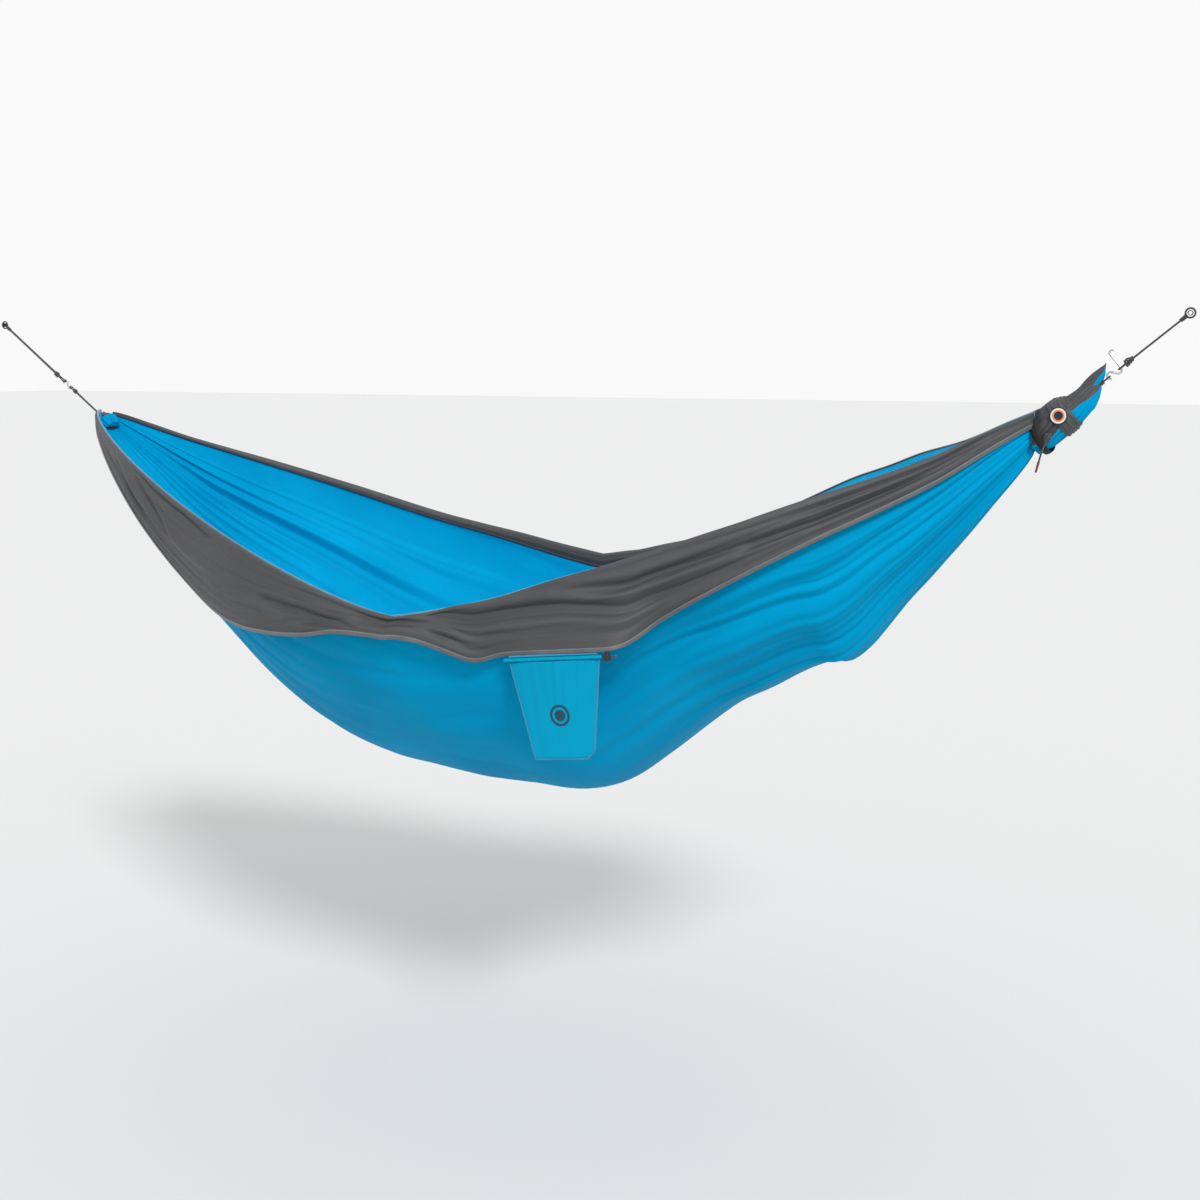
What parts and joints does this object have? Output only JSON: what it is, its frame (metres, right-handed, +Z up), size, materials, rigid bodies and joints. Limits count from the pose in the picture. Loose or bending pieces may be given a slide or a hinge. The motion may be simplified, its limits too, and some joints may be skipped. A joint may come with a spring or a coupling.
{
  "type": "camping hammock",
  "caption": "Three-panel nylon camping hammock on rope slings and S-hooks, with gathered ends, folded-over edge panels and a drawcord pouch hung from the front hem",
  "frame": {"origin": "centre of the left anchor bush, on its bore axis", "axes": "+X from the left anchor to the right anchor, +Y through the anchor bores towards the rear side, +Z up"},
  "size_m": [3.2632, 1.1521, 1.1809],
  "materials": {
    "centre_nylon": "satin woven nylon",
    "pouch_nylon": "satin woven nylon",
    "edge_nylon": "satin woven nylon",
    "black_rope": "braided polyester rope",
    "black_strap": "woven tape",
    "steel": "polished round wire",
    "lock_plastic": "moulded",
    "badge_rubber": "moulded soft rubber patch",
    "tip_brown": "heat-shrunk cord end"
  },
  "bodies": {
    "anchors": {"left_anchor_bush": "steel", "right_anchor_bush": "steel"},
    "bed": {"centre_panel": "centre_nylon", "right_end_neck": "centre_nylon", "left_end_channel": "centre_nylon", "pouch_hinge_tape": "pouch_nylon", "front_edge_panel": "edge_nylon", "rear_edge_panel": "edge_nylon", "front_seam": "edge_nylon", "rear_seam": "edge_nylon", "front_hem": "edge_nylon", "rear_hem": "edge_nylon", "neck_band": "edge_nylon", "left_anchor_eye": "black_rope", "right_anchor_eye": "black_rope", "left_anchor_knot": "black_rope", "right_anchor_knot": "black_rope", "left_sling_rope": "black_rope", "right_sling_rope": "black_rope", "left_sling_knot": "black_rope", "right_sling_knot": "black_rope", "left_gather_cord": "black_rope", "right_gather_cord": "black_rope", "left_gather_knot": "black_rope", "right_gather_knot": "black_rope", "left_lashing": "black_rope", "neck_strap": "black_strap", "strap_knot": "black_strap", "strap_tail": "black_strap", "neck_badge": "badge_rubber", "strap_tail_tip": "tip_brown"},
    "left_hook": {"left_s_hook": "steel"},
    "right_hook": {"right_s_hook": "steel"},
    "pouch": {"pouch_front": "pouch_nylon", "pouch_back": "pouch_nylon", "pouch_left_seam": "pouch_nylon", "pouch_right_seam": "pouch_nylon", "pouch_bottom_seam": "pouch_nylon", "pouch_mouth_channel": "pouch_nylon", "pouch_drawcord": "black_rope", "drawcord_knot": "black_rope"},
    "cord_lock": {"cord_lock_body": "lock_plastic", "cord_lock_spring": "steel"},
    "lock_button": {"cord_lock_button": "lock_plastic"}
  },
  "joints": [
    {"name": "bed_swing", "type": "hinge", "parent": "anchors", "child": "bed", "pos_m": [0, 0, 0], "axis": [1, 0, 0], "range_deg": [-40, 40]},
    {"name": "left_hook_twist", "type": "hinge", "parent": "bed", "child": "left_hook", "pos_m": [0.214, 0, -0.15799], "axis": [0.8045, 0, -0.594], "range_deg": [-15, 15]},
    {"name": "right_hook_twist", "type": "hinge", "parent": "bed", "child": "right_hook", "pos_m": [3.10978, 0, -0.11083], "axis": [-0.7615, 0, -0.6481], "range_deg": [-15, 15]},
    {"name": "pouch_swing", "type": "hinge", "parent": "bed", "child": "pouch", "pos_m": [2.048, -0.528, -0.718], "axis": [0.9932, 0, 0.1167], "range_deg": [-80, 15]},
    {"name": "cord_lock_slide", "type": "slide", "parent": "pouch", "child": "cord_lock", "axis": [0.9932, 0, 0.1167], "range_m": [0, 0.008]},
    {"name": "lock_button_press", "type": "slide", "parent": "cord_lock", "child": "lock_button", "axis": [0.1167, 0, -0.9932], "range_m": [0, 0.003], "stiffness_N_per_m": 300, "springref_m": -0.003, "deforming": ["cord_lock_spring"]}
  ]
}
